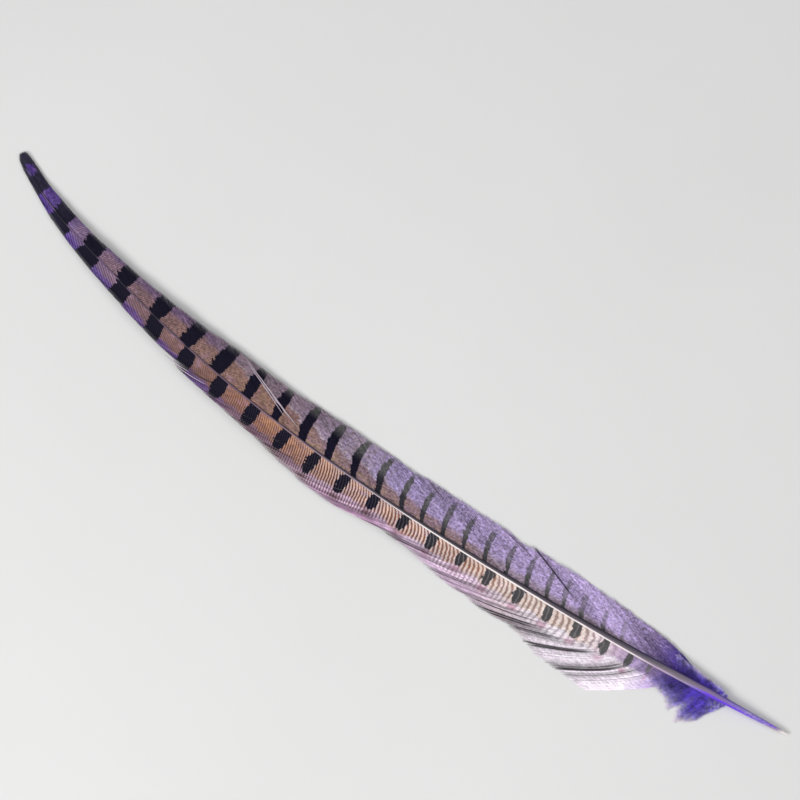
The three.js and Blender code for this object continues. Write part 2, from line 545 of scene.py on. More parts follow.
@dataclass(frozen=True)
class WebFinish:
    """The colours of one web: its ground near the shaft (inner), at the rim (outer), and its bars.

    border is how soft the line between the grounds is. mottle flecks them, with mottle_dark and
    from mottle_light to mottle_late along the shaft, and falls to mottle_least of itself over
    mottle_until; fleck is how fine it is along and across. warmth lays patches of warm_tint,
    ripple watery waves, net a fine mesh and seam a pale line between the grounds. streaks sets
    the barbs apart at the rim, and rim_haze greys the bars there. rib_highlight and rib_shade are
    how strong the painted highlight on the ribs' crests and the painted shade in their furrows are,
    and bar_highlight how strong the painted highlight is where a crest crosses a bar.

    The mesh's marks are place (station, distance out, distance past the inner ground), mark (depth
    inside a bar, how dark that bar is, the barb's own shade), rib (phase, strength, share of the
    barb's length) and tone (smudge past a bar, the barb's root, painted shade beside a parting).
    """

    name: str
    inner: Stops
    outer: Stops
    faded_bar: Tint
    border: float
    mottle: float
    mottle_light: Tint
    mottle_dark: Tint
    mottle_late: Tint = Tint.ORCHID
    mottle_least: float = 0.35
    mottle_until: Pair = (300, 400)
    fleck: Pair = (0.75, 0.42)
    rib_highlight: float = 0.8
    rib_shade: float = 0.85
    bar_highlight: float = 0.3
    warmth: float = 0.0
    warm_tint: Tint = Tint.AMBER
    ripple: float = 0.35
    streaks: float = 0.9
    rim_haze: float = 0.75
    seam: float = 0.0
    net: float = 0.0

    def material(self) -> Material:
        """Lays the two grounds, what plays over them, the bars, and last the barbs' own shades.

        Returns:
            The material.
        """
        n = Nodes(self.name)
        station, out, past = n.mark("place")
        depth, darkness, shade = n.mark("mark")
        phase, strength, share = n.mark("rib")
        smudge, root, dusk = n.mark("tone")
        along = station * (1 / LINE.length)
        cloud, grain = n.noise(180, 3), n.noise(1100, 3)

        # The two grounds, and the patches that warm and cool the inner one.
        border = (cloud - 0.5) * out.maths("MINIMUM", 8) * 0.9 + past
        rim = border.rise(-self.border, self.border)
        colour = n.mix(rim, n.ramp(along, self.inner), n.ramp(along, self.outer))
        patch, grown = n.drawn(station * 0.13, out * 0.3, 3), station.rise(125, 205)
        warm = patch.rise(0.42, 0.6, self.warmth) * border.rise(0, -5) * grown
        warm = warm * station.rise(360, 300)
        cool = patch.rise(0.45, 0.34, 0.6 * self.warmth) * border.rise(0, -3) * grown
        colour = n.mix(cool, n.mix(warm, colour, self.warm_tint), Tint.PINK)
        colour = self.mottled(n, colour, station, out, rim, root)
        seam = border.rise(-1, 0.1) * border.rise(1.5, 0.1, self.seam) * grain.rise(0.4, 0.55)
        colour = n.mix(seam * station.rise(225, 255) * station.rise(355, 330), colour, Tint.PEARL)

        # Fine watery ripples, then the ribs by the phase's sine: a painted highlight on the raised
        # crests and painted shade in the low furrows, over the ribs' slight relief.
        wave = n.drawn(station * 0.28, (station * 0.12 + out) * 1.5, 3)
        colour = n.lit(colour, wave.rise(0.4, 0.6, self.ripple) + (1 - 0.5 * self.ripple))
        pale = station.rise(320, 170, 0.75) + station.rise(380, 430, 0.2) + 0.25
        rib = (((n.noise(150, 2) - 0.5) * 0.7 + phase) * (2 * math.pi)).maths("SINE")
        colour = n.mix(rib.rise(0, 0.7) * strength * pale * self.rib_highlight, colour, Tint.IVORY)
        furrow = n.mix(station.rise(140, 210), Tint.PEAT, Tint.RUST)
        colour = n.mix(rib.rise(-0.1, -0.7) * strength * self.rib_shade, colour, furrow)

        # The bars, with a stain past their ends, a toothed edge and a painted highlight where a rib
        # crosses.
        stained = n.mix(station.rise(170, 260), Tint.ROSE, Tint.RUST)
        colour = n.mix(smudge * cloud.rise(0.2, 0.45), colour, stained)
        inside = ((grain - 0.5) * 1.5 + depth - rib * strength * 0.4).rise(-0.14, 0.14)
        bar_tint_and_gleam = n.ramp(darkness, ((0.35, self.faded_bar), (0.9, Tint.INK)))
        bar_tint_and_gleam = n.mix(station.rise(445, 478, 0.6), bar_tint_and_gleam, Tint.SLATE)
        # Painted highlight: pebble grey on a bar where a rib's crest crosses it.
        light = rib.rise(0.4, 0.97, self.bar_highlight) * strength
        bar_tint_and_gleam = n.mix(light * (station.rise(255, 175, 0.85) + 0.15), bar_tint_and_gleam, Tint.PEBBLE)
        colour = n.mix(inside * darkness.rise(0, 0.42), colour, bar_tint_and_gleam)
        haze = share.rise(0.78, 0.95, self.rim_haze) * station.rise(300, 360) * inside
        colour = n.mix(haze, colour, Tint.ASH)

        # The barbs' own shades, which part them more towards the rim and near the quill.
        fringe = share.rise(0.6, 1).maths("MAXIMUM", past.rise(-0.5, 2.5))
        spread = fringe * self.streaks + station.rise(145, 105, 0.7) + 0.5
        net = n.noise(780, 1).rise(0.36, 0.62, self.net) - 0.5 * self.net
        tone = (shade - 0.5) * spread + (grain - 0.5) * 0.3 + net + 1
        # Barbs that lie low beside a parting get painted shade, darkened by (1 - dusk)^2.
        clear = dusk * -1 + 1
        colour = n.lit(colour, tone * clear * clear)
        fine = n.drawn(station * 9, out * 2, 3)
        rough, relief = fine * 0.25 + 0.55, rib * strength * 0.6 + fine
        return n.finish(colour, rough, relief, 0.09, specular_ior_level=0.07, sheen_weight=0.015)

    def mottled(
        self, n: Nodes, ground: Output, station: Output, out: Output, rim: Output, root: Output
    ) -> Output:
        """Flecks the ground, light and dark, more towards the rim: a noise drawn out along barbs.

        Args:
            n: the tree.
            ground: the colour so far.
            station: stations along the bow.
            out: distances from the shaft.
            rim: the share of the rim's ground.
            root: the station of each barb's root.

        Returns:
            The flecked colour.
        """
        low, high = self.mottle_until
        share = (rim * 0.8 + 0.2) * station.rise(60, 105) * self.mottle
        share = share * (station.rise(high, low, 1 - self.mottle_least) + self.mottle_least)
        fleck = n.drawn(root * self.fleck[0], out * self.fleck[1], 5)
        light = n.mix(station.rise(245, 330), self.mottle_light, self.mottle_late)
        ground = n.mix(fleck.rise(0.5, 0.66) * share, ground, light)
        return n.mix(fleck.rise(0.48, 0.3, 0.55) * share, ground, self.mottle_dark)


@dataclass(frozen=True)
class ShaftFinish:
    """Horn: an umber back, an ivory left side that is partly the horn's own colour and partly
    painted light, a dark right edge that is painted shade, and a lilac quill with a pale point.

    The mesh's mark place holds the station, the share of the way across from the right edge (-1) to
    the left one (1), and how far the webs' dark bars run on over the shaft.
    """

    name: str = "horn"
    back: Stops = (
        (0, Tint.IVORY), (0.012, Tint.DOVE), (0.018, Tint.GRAPE), (0.04, Tint.QUILL),
        (0.06, Tint.QUILL), (0.09, Tint.HEATHER), (0.125, Tint.PEWTER), (0.17, Tint.DUSK),
        (0.23, Tint.UMBER), (0.5, Tint.UMBER), (0.6, Tint.DAMSON), (0.8, Tint.DAMSON),
        (0.9, Tint.HYACINTH), (1, Tint.SOOT),
    )
    pale_lit_flank: Stops = (
        (0, Tint.IVORY), (0.016, Tint.DOVE), (0.03, Tint.QUILL), (0.055, Tint.GRAPE),
        (0.095, Tint.GRAPE), (0.12, Tint.LAVENDER), (0.155, Tint.ORCHID), (0.19, Tint.IVORY),
        (0.43, Tint.IVORY), (0.51, Tint.DOVE), (0.6, Tint.MAUVE), (0.66, Tint.DAMSON),
        (1, Tint.SOOT),
    )
    edge: Stops = ((0, Tint.HAZE), (0.1, Tint.INDIGO), (0.2, Tint.SOOT))

    def material(self) -> Material:
        """Lays the back, the pale side with its painted light and the dark edge with its painted
        shade by a line that wanders across, then streaks them.

        Returns:
            The material.
        """
        n = Nodes(self.name)
        station, across, barred = n.mark("place")
        along = station * (1 / LINE.length)
        back, pale_lit_flank, edge = (n.ramp(along, stops) for stops in (self.back, self.pale_lit_flank, self.edge))
        streak = n.drawn(station * 0.12, across * 5, 4)
        wander = (streak - 0.5) * 0.35 + across
        back = n.mix(wander.rise(-0.35, 0.6, 0.42), back, Tint.DOVE)
        # The pale left side: partly the horn's ivory, partly painted light, with a thin painted
        # shade at its rim.
        near = wander + station.rise(125, 160, 0.18) + station.rise(60, 48, 0.32)
        colour = n.mix(near.rise(0.5, 0.62) * across.rise(1.03, 0.96), back, pale_lit_flank)
        # The dark right edge is painted shade.
        colour = n.mix(wander.rise(-0.55, -0.8), colour, edge)
        speck = n.drawn(station * 0.9, across * 1.3, 2).rise(0.5, 0.62, 0.4)
        colour = n.mix(speck * station.rise(38, 20), colour, Tint.PEARL)
        colour = n.mix(station.rise(7, 2.5), colour, Tint.IVORY)
        colour = n.lit(n.mix(barred, colour, Tint.INK), streak * 0.5 + 0.8, 0.8)
        rough = streak * 0.25 + 0.4
        return n.finish(colour, rough, streak, 0.05, specular_ior_level=0.3, coat_weight=0.04)


@dataclass(frozen=True)
class DownFinish:
    """Down: violet at its root, hazy grey towards its ends, and pale flecks where it begins.

    The mesh's mark place holds the station, the share of the way to the tuft's end and a shade.
    """

    name: str = "down"

    def material(self) -> Material:
        """Lays violet, haze and pearl along each tuft, and breaks them up with blotches of shade.

        Returns:
            The material.
        """
        n = Nodes(self.name)
        station, share, shade = n.mark("place")
        cloud = n.noise(260, 4)
        reach = (cloud - 0.5) * 0.5 + share
        violet = n.mix(station.rise(62, 50), Tint.ULTRA, Tint.IRIS)
        violet = n.mix(station.rise(64, 82), violet, Tint.LILAC)
        colour = n.mix(reach.rise(0.5, 1.05), violet, Tint.HAZE)
        colour = n.mix(reach.rise(0.86, 1.12), colour, Tint.PEARL)
        flecked = n.mix(n.noise(700, 2).rise(0.38, 0.55), Tint.IRIS, Tint.FROST)
        colour = n.mix(station.rise(47, 40.5, 0.85), colour, flecked)
        tone = shade * 1.4 + n.noise(420, 4) * 2.4 + reach.rise(0.7, 1.1, 0.35) - 0.86
        colour = n.lit(colour, tone.maths("MAXIMUM", 0.12))
        rough = cloud * 0.2 + 0.7
        return n.finish(colour, rough, cloud, 0.05, specular_ior_level=0.15, sheen_weight=0.2)


@dataclass(frozen=True)
class StrayFinish:
    """Single barbs that have come loose: pale or dark by their shade, and softly streaked."""

    name: str = "loose_barb"

    def material(self) -> Material:
        """Takes each barb's tint from its shade and streaks it with pink.

        Returns:
            The material.
        """
        n = Nodes(self.name)
        station, _, shade = n.mark("place")
        streak = n.drawn(station * 0.3, shade * 9, 3)
        colour = n.mix(shade.rise(0.35, 0.65), Tint.SOOT, Tint.PEARL)
        colour = n.mix(streak * 0.4, colour, Tint.PINK)
        return n.finish(colour, streak * 0.3 + 0.35, streak, 0.04, specular_ior_level=0.4)


# ---- The shaft --------------------------------------------


@dataclass(frozen=True)
class Shaft:
    """The quill and the shaft that goes on from it: a bowed, tapering rod with a flattened back.

    half_width is by station, and depth is half the height as a share of it. A furrow runs along
    the back, given by its depth, its place across and its spread squared. The last ring lies a
    short way off the tip. Over the stations bars_from, the webs' bars begin to run on over the
    shaft.
    """

    half_width: Rows = (
        (0, 0.12), (1.2, 0.4), (4, 0.85), (10, 1.05), (20, 1.32), (32, 1.65), (45, 2.1), (70, 2.05),
        (100, 1.8), (150, 1.4), (200, 1.08), (250, 0.78), (300, 0.58), (350, 0.47), (400, 0.42),
        (480, 0.34), (499.4, 0.08),
    )
    depth: float = 1.15
    squareness: float = 2.6
    furrow: tuple[float, float, float] = (0.16, 0.1, 0.02)
    short: float = 0.6
    bars_from: Pair = (300, 380)
    rings: int = 420
    sides: int = 24

    def build(self) -> Object:
        """Carries a rounded-square section, |x|^p + |y|^p = 1, along the bow and closes both ends.

        The rings' stations rise with their share s as 0.35 s^2.2 + 0.65 s, closer at the quill.

        Returns:
            The piece.
        """
        share = np.linspace(0.0, 1.0, self.rings)
        station = (LINE.length - self.short) * (0.35 * share**2.2 + 0.65 * share)
        at, half = station[:, None], read(self.half_width, station)[:, None]
        angle = np.linspace(2 * math.pi, 0.0, self.sides, endpoint=False)
        wave = np.stack([np.cos(angle), np.sin(angle)])
        across, up = np.sign(wave) * np.abs(wave) ** (2.0 / self.squareness)
        deep, middle, spread = self.furrow
        up = up - deep * np.exp(-((across - middle) ** 2) / spread) * (up > 0)
        height = LINE.height(at) + half * self.depth * up
        points = LINE.place(at, half * across + LINE.off(at), height).reshape(-1, 3)
        ends = np.array([0.0, LINE.length - 0.2])
        points = np.concatenate([points, LINE.place(ends, 0 * ends, LINE.height(ends))])

        number = np.arange(self.rings * self.sides).reshape(self.rings, self.sides)
        after = np.roll(number, -1, axis=1)
        quads = np.stack([number[:-1], number[1:], after[1:], after[:-1]], -1).reshape(-1, 4)
        fans = [together(number[0], after[0]), together(after[-1], number[-1])]
        fans = np.concatenate(fans)
        fans = np.insert(fans, 0, number.size + np.repeat([0, 1], self.sides), axis=1)
        turn = np.arange(self.sides)[:, None]
        v = np.stack([share[:-1], share[1:], share[1:], share[:-1]], -1)[:, None]
        quad_map = together((turn + [0, 0, 1, 1]) / self.sides, v)
        fan_u = np.tile((turn + [0.5, 0, 1]) / self.sides, (2, 1))
        fan_map = together(fan_u, np.repeat([0.0, 1.0], self.sides)[:, None])
        uv = np.concatenate([quad_map.reshape(-1, 2), fan_map.reshape(-1, 2)])
        mesh = write_mesh("shaft", points, [quads, fans], uv)

        level = np.zeros_like(station)
        depths = [web.bars.marks(station, level, level)[0] for web in (LEFT_WEB, RIGHT_WEB)]
        barred = ease(-0.4, 0.4, np.minimum(*depths)) * ease(*self.bars_from, station)
        marks = together(at, across, barred[:, None]).reshape(-1, 3)
        write_mark(mesh, "place", np.concatenate([marks, [[0, 0, 0], [LINE.length, 0, 1]]]))
        return add_piece(mesh, ShaftFinish().material(), smooth=True)


# ---- The webs ---------------------------------------------


@dataclass(frozen=True)
class Bars:
    """The dark bars across one web, each by its middle at the shaft and half its width there.

    lean is how far to the tip a bar has swung at lean_full_at, bulge how much it swells half-way
    out, and end how far out it stops, the more bluntly the higher its squareness. dark is how
    dark a bar is at the shaft; past fade_from that falls to the share faded of it within
    fade_over. smudge is the strength of the stain that a bar leaves smudge_past beyond its end.
    From solid_from on all is dark but for an oval spot, given by its middle (along, out), its
    half-sizes and its slant.
    """

    middles: Rows
    lean: Rows
    lean_full_at: float
    bulge: float
    end: Rows
    dark: Rows
    fade_from: Rows
    fade_over: float
    faded: float
    squareness: float = 4.0
    smudge: float = 0.0
    smudge_past: float = 1.8
    solid_from: float = 485.5
    spot: Pair = (490.0, 0.4)
    spot_half: Pair = (3.4, 2.2)
    spot_slant: float = 0.55

    def swing(self, station: Array, out: Array) -> Array:
        """Gives how far to the tip a bar has swung: lean u (2 - u), with u = out / lean_full_at."""
        u = np.clip(out / self.lean_full_at, 0.0, 1.6)
        return u * (2.0 - u) * read(self.lean, station)

    def marks(
        self, station: Array, out: Array, teeth: Array
    ) -> tuple[Array, Array, Array]:
        """Measures how deep each point lies inside the nearest bar, and how dark that bar is.

        With x = out / end, a bar's half-width is (half + bulge sin(pi x)) sqrt(1 - x^squareness).
        Teeth stand out of the edge towards the tip, and 0.4 times as far out of the other one.

        Args:
            station: stations along the bow.
            out: distances from the shaft.
            teeth: how far a tooth stands out at each point.

        Returns:
            The depth inside the bar in millimetres, below 0 outside it, the darkness, and the
            smudge that a bar leaves past its end.
        """
        middle, half = np.asarray(self.middles, float).T
        end = read(self.end, middle)
        x = out[..., None] / end
        swell = half + self.bulge * np.sin(math.pi * np.clip(x, 0.0, 1.0))
        off = station[..., None] - middle - self.swing(middle, out[..., None])
        depth = swell * np.sqrt(np.clip(1.0 - x**self.squareness, 0.0, 1.0)) - np.abs(off)
        depth += teeth[..., None] * np.where(off > 0.0, 1.0, 0.4) * np.clip(1.4 - x, 0.0, 1.0)
        depth = np.where(x > 1.0, depth - 3.0 * (x - 1.0), depth)
        past = (out[..., None] - end) / self.smudge_past - 1.0
        smudge = self.smudge * np.exp(-((off / (1.3 * half)) ** 2) - past**2).max(-1)
        fade = read(self.fade_from, middle[depth.argmax(-1)])
        share = 1.0 - (1.0 - self.faded) * ease(0.0, self.fade_over, out - fade)

        long, wide = self.spot_half
        aside = out - self.spot[1]
        along = (station - self.spot[0] + self.spot_slant * aside) / long
        round_spot = wide * (np.hypot(along, aside / wide) - 1.0) + teeth * 0.5
        depth = np.maximum(depth.max(-1), np.where(station > self.solid_from, round_spot, -9.0))
        return depth, share * read(self.dark, station), smudge

    def gap(self, station: Array, out: Array) -> Array:
        """Tells how far through the gap between two bars each point lies, 0 to 1 to the tip."""
        middle = np.asarray(self.middles, float)[:, 0]
        return np.interp(station - self.swing(station, out), middle, np.arange(len(middle))) % 1.0


@dataclass(frozen=True)
class Web:
    """One web: single barbs, close together, that sweep from the shaft towards the tip.

    reach is how far along the shaft a barb gets by the time it ends, bend how late it turns, and
    rim how far out it ends, each by station (the first two by the barb's root, the last by its
    end). back is how far a barb first leans back to the quill, within back_over, and fray how
    ragged the rim is. partings are the roots where the web has split, each with the split's width
    at the rim and how dark the painted shade on the barbs beside it is, from the share dusk_from
    of a barb on; parting_reach is how far it pushes barbs apart. gloom darkens whole barbs by
    their root, and lines some single ones, but none whose root is within plain.

    The ribs have a pitch, a slant, a lean within lean_over of the shaft, a curl and a height;
    rib_end is how far out they go, and rib_fade what they lose past inner, the edge of the inner
    ground, which bulges by scallop between the bars. teeth is how far single barbs carry a bar's
    edge out, and belly how much they all do half-way along. A barb's section rises by ridge and
    tilts by tilt, as shares of its width.
    """

    name: str
    side: int
    first: float
    reach: Rows
    bend: Rows
    rim: Rows
    inner: Rows
    partings: tuple[tuple[float, float, float], ...]
    bars: Bars
    finish: WebFinish
    back: float = 0.0
    rib_pitch: Rows = ((0, 2.8),)
    rib_slant: Rows = ((0, 0),)
    rib_lean: Rows = ((0, 1),)
    rib_curl: Rows = ((0, 0),)
    rib_height: Rows = ((0, 0),)
    rib_end: Rows = ((0, 12),)
    rib_fade: float = 0.0
    fray: Rows = ((0, 0.03),)
    teeth: Rows = ((100, 0.8), (300, 0.9), (380, 1.1), (500, 1.4))
    belly: Rows = ((0, 0),)
    scallop: Rows = ((0, 0),)
    dusk_from: Rows = ((0, 0.3),)
    gloom: Rows = ((0, 0),)
    last: float = 498.8
    spacing: float = 0.48
    steps: int = 24
    overlap: float = 1.5
    ridge: float = 0.2
    tilt: float = 0.16
    back_over: float = 4.0
    lean_over: float = 3.6
    parting_reach: float = 5.0
    lines: float = 0.3
    plain: Pair = (70, 110)
    seed: int = 1

    def roots(self) -> Array:
        """Gives the station of every barb's root, as a column."""
        return np.arange(self.first, self.last, self.spacing)[:, None]

    def stir(self, number: int, run: float) -> Array:
        """Gives one of the web's own uneven rows, a value for each barb, as a column."""
        return uneven(self.seed + number, len(self.roots()), run)[:, None]

    def paths(self) -> tuple[Array, Array, Array]:
        """Works out every barb's path from its root station r, at shares t of its way out.

        station = r + reach t^bend - back (1 - e^(-out / back_over)) + the partings, and out = rim
        t, shortened by the fray. Either side of a parting, barbs are pushed apart by its width
        times t, less and less with their distance from it.

        Returns:
            The shares, stations and distances out, each by barb and step.
        """
        roots, t = self.roots(), np.linspace(0.0, 1.0, self.steps)[None]
        reach = read(self.reach, roots)
        ragged = 0.5 * np.abs(self.stir(0, 0.7)) + np.clip(self.stir(1, 9), 0, 2)
        rim = read(self.rim, roots + reach) * (1.0 - read(self.fray, roots) * ragged)
        out = self.side * LINE.off(roots) * (1.0 - t) + rim * t
        station = roots + reach * t ** read(self.bend, roots) + 0.25 * self.stir(2, 2.0) * t**2
        station -= self.back * ease(480.0, 330.0, roots) * (1.0 - np.exp(-out / self.back_over))
        for root, width, _ in self.partings:
            away = roots - root
            push = 0.5 * width * np.sign(away) * np.exp(-np.abs(away) / self.parting_reach)
            station += push * t**1.3
        return np.broadcast_to(t, station.shape), np.minimum(station, LINE.length - 0.3), out

    def ribs(self, station: Array, out: Array) -> tuple[Array, Array]:
        """Counts the ribs, which lean to the quill close to the shaft and stand straighter outside.

        phase = the sum of 1 / pitch from the quill to the station, plus (slant out - curl out^2 +
        lean l (1 - e^(-out/l))) / pitch, where l is lean_over. The strength is the height's, and
        falls to nothing over the last of the ribs' reach. The phase is a little uneven from barb
        to barb.

        Args:
            station: stations along the bow.
            out: distances from the shaft.

        Returns:
            The phase and the strength.
        """
        along = np.linspace(0.0, LINE.length, 2001)
        count = np.cumsum(1.0 / read(self.rib_pitch, along)) * (along[1] - along[0])
        swing = read(self.rib_lean, station) * (1.0 - np.exp(-out / self.lean_over))
        swing = swing * self.lean_over + read(self.rib_slant, station) * out
        swing -= read(self.rib_curl, station) * out**2
        phase = np.interp(station, along, count) + swing / read(self.rib_pitch, station)
        fall = ease(1.2, -1.0, out - read(self.rib_end, station))
        fall = fall * (1.0 - self.rib_fade * ease(-1.5, 1.5, out - read(self.inner, station)))
        return phase + 0.05 * self.stir(9, 1.5), fall * read(self.rib_height, station)

    def widths(self, centre: Array, ahead: Array) -> Array:
        """Works out each barb's width from the clear distance to its neighbour, times the overlap.

        Args:
            centre: the barbs' paths.
            ahead: the headings along them.

        Returns:
            The width at each step.
        """
        gap = np.diff(centre, axis=0, append=2 * centre[-1:] - centre[-2:-1])
        clear = np.abs(gap[..., 0] * ahead[..., 1] - gap[..., 1] * ahead[..., 0])
        clear = np.clip(clear, 0.1, 0.75)
        clear = (np.roll(clear, 1, 0) + clear + np.roll(clear, -1, 0)) / 3.0
        return np.clip(clear * self.overlap, 0.2, None)

    def shadow(self) -> Array:
        """Tells how much painted shade each barb gets for lying low by a parting: dark e^(-away^4).

        Returns:
            The painted shade, a value for each barb, as a column.
        """
        root, width, dark = np.asarray(self.partings, float).T
        away = np.abs(self.roots() - root) / (0.35 + 0.28 * width)
        return (dark * np.exp(-(away**4))).max(1)[:, None]

    def shade(self, t: Array, dusk: Array) -> Array:
        """Gives the barbs' own shades, which wander along the web, less the lines and the gloom.

        Args:
            t: the shares of each barb's way out.
            dusk: how far the dusk has begun at each.

        Returns:
            The shade, between 0 and 1.
        """
        roots, (low, high) = self.roots(), self.plain
        shade = 0.5 + 0.07 * self.stir(7, 0.6) + 0.11 * self.stir(8, 2.2) + 0.05 * self.stir(12, 9)
        lines = self.lines * (self.stir(13, 0.8) > 1.35)
        lines = lines * (1.0 - ease(low - 2, low + 2, roots) * ease(high + 2, high - 2, roots))
        far = ease(0.25, 0.4, t) * (1.5 * ease(0.55, 0.78, t) - 0.5)
        return np.clip(shade - lines * dusk - read(self.gloom, roots) * far, 0, 1)

    def build(self) -> Object:
        """Lays a thin prism along every barb's path, each a little over the next.

        Returns:
            The piece.
        """
        t, station, out = self.paths()
        phase, strength = self.ribs(station, out)
        shadow = self.shadow()
        lift = np.clip(0.1 * self.stir(3, 0.6) + 0.2 * self.stir(4, 7), -0.35, 0.5)
        height = LIE.height(station, out) + ease(0.45, 1.0, t) * (lift - 0.25 * shadow)
        height = height + 0.1 * strength * np.sin(2 * math.pi * phase)
        centre = LINE.place(station, self.side * out, height)

        ahead = np.gradient(centre, axis=1)
        ahead /= np.linalg.norm(ahead, axis=-1)[..., None]
        width = self.widths(centre, ahead) * (1.0 - 0.8 * ease(0.9, 1.0, t))
        tilted = np.stack([-ahead[..., 1], ahead[..., 0], np.full_like(width, self.tilt)], -1)
        half, crown = 0.5 * width[..., None] * tilted, self.ridge * width[..., None] * UP

        teeth = (0.2 * self.stir(5, 0.7) + 0.3 * self.stir(6, 1.4)) * read(self.teeth, station)
        teeth = teeth + read(self.belly, station) * np.sin(math.pi * t)
        depth, dark, smudge = self.bars.marks(station, out, teeth)
        past = out - read(self.inner, station)
        past -= read(self.scallop, station) * (self.bars.gap(station, out) - 0.5)
        # Barbs beside a parting get painted shade from the share dusk_from on, as the tone mark's
        # last number.
        dusk = ease(0.0, 0.28, t - read(self.dusk_from, self.roots()))
        marks = {
            "place": (station, out, past),
            "mark": (depth, dark, self.shade(t, dusk)),
            "rib": (phase, strength, t),
            "tone": (smudge, self.roots(), shadow * dusk),
        }
        marks = {name: together(*rows) for name, rows in marks.items()}
        mesh = Strands(centre, half, crown, marks).mesh(self.name)
        return add_piece(mesh, self.finish.material(), smooth=False)


LEFT_BARS = Bars(
    middles=(
        (79.5, 0.4), (91.8, 1.3), (107, 1.7), (123.3, 1.8), (139.4, 1.9), (156.3, 2), (173.9, 2),
        (190.8, 2.1), (208.2, 2.2), (225.6, 2.1), (244.1, 2.2), (262.5, 2.4), (281.4, 2.5),
        (300.9, 2.7), (321.5, 3.2), (343.6, 3.3), (366, 3.6), (389, 4.4), (412.8, 4.8), (437, 5.8),
        (459, 6.2), (482, 5.2), (498.5, 4.4),
    ),
    lean=(
        (80, 0), (107, -2.2), (122, -1.8), (140, -0.9), (157, 0.1), (175, 0.6), (225, 0.6),
        (285, 0.6), (320, -0.4), (350, -1.6), (390, -2.6), (420, 0),
    ),
    lean_full_at=8.0,
    bulge=0.55,
    squareness=6.0,
    smudge=0.9,
    end=(
        (79, 8), (92, 10.4), (175, 10.4), (191, 9), (208, 10.2), (244, 9.4), (262, 12), (281, 13.6),
        (301, 12.4), (344, 11.8), (366, 14), (390, 40),
    ),
    dark=(
        (75, 0.3), (92, 0.4), (110, 0.48), (150, 0.56), (180, 0.66), (210, 0.8), (260, 1), (484, 1),
        (490, 0.8),
    ),
    fade_from=(
        (79, 5), (100, 9), (175, 9), (262, 11), (281, 12), (301, 10.5), (344, 10), (500, 40),
    ),
    fade_over=2.5,
    faded=0.6,
)

LEFT_FINISH = WebFinish(
    name="left_web",
    inner=(
        (0.13, Tint.INDIGO), (0.155, Tint.HEATHER), (0.175, Tint.LILAC), (0.2, Tint.ORCHID),
        (0.218, Tint.BLUSH), (0.24, Tint.CREAM), (0.31, Tint.CREAM), (0.39, Tint.SHELL),
        (0.44, Tint.CLAY), (0.49, Tint.CLAY), (0.55, Tint.APRICOT), (0.62, Tint.BUFF),
        (0.72, Tint.FAWN), (0.8, Tint.TAUPE), (0.87, Tint.PLUM), (0.94, Tint.VIOLET),
    ),
    outer=(
        (0.12, Tint.INDIGO), (0.152, Tint.LILAC), (0.176, Tint.CHALK), (0.27, Tint.CHALK),
        (0.32, Tint.BLUSH), (0.36, Tint.PETAL), (0.4, Tint.PETAL), (0.45, Tint.ORCHID),
        (0.48, Tint.PINK), (0.545, Tint.PINK), (0.585, Tint.MULBERRY), (0.66, Tint.MULBERRY),
        (0.7, Tint.AMETHYST), (0.8, Tint.AMETHYST), (0.88, Tint.VIOLET), (0.966, Tint.VIOLET),
        (0.976, Tint.ASH),
    ),
    faded_bar=Tint.OLIVE,
    bar_highlight=0.65,
    border=1.0,
    mottle=0.4,
    warmth=0.7,
    mottle_light=Tint.ORCHID,
    mottle_dark=Tint.TAUPE,
    streaks=1.5,
)

